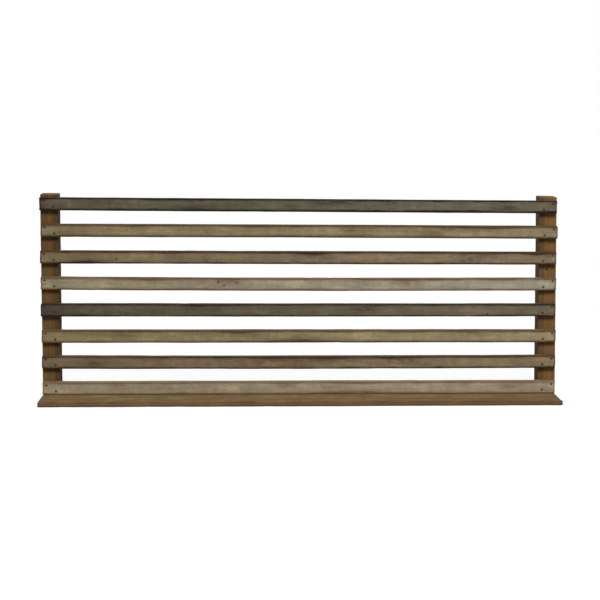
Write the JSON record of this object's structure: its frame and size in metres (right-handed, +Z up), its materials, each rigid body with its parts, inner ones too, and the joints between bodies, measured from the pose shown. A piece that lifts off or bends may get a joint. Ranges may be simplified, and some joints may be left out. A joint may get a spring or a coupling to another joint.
{
  "type": "slatted wooden rack",
  "caption": "Low free-standing rack: level timber slats nailed across end posts that stand on a flat base board.",
  "frame": {"origin": "centre of the base board's underside, on the ground", "axes": "+Z up, +X along the slats to the right as seen from the nailed front, which faces -Y"},
  "size_m": [1.57, 0.184, 0.624],
  "materials": {
    "slat_charcoal": "matte",
    "slat_straw": "matte",
    "slat_umber": "matte",
    "slat_silver": "matte",
    "post_timber": "matte",
    "base_timber": "matte",
    "nail_iron": "matte"
  },
  "bodies": {
    "root": {"base_board": "base_timber", "post_left": "post_timber", "post_right": "post_timber", "base_nails_left": "nail_iron", "base_nails_right": "nail_iron", "slat_1": "slat_charcoal", "slat_1_nails": "nail_iron", "slat_2": "slat_straw", "slat_2_nails": "nail_iron", "slat_3": "slat_umber", "slat_3_nails": "nail_iron", "slat_4": "slat_silver", "slat_4_nails": "nail_iron", "slat_5": "slat_charcoal", "slat_5_nails": "nail_iron", "slat_6": "slat_straw", "slat_6_nails": "nail_iron", "slat_7": "slat_umber", "slat_7_nails": "nail_iron", "slat_8": "slat_silver", "slat_8_nails": "nail_iron"}
  },
  "joints": []
}
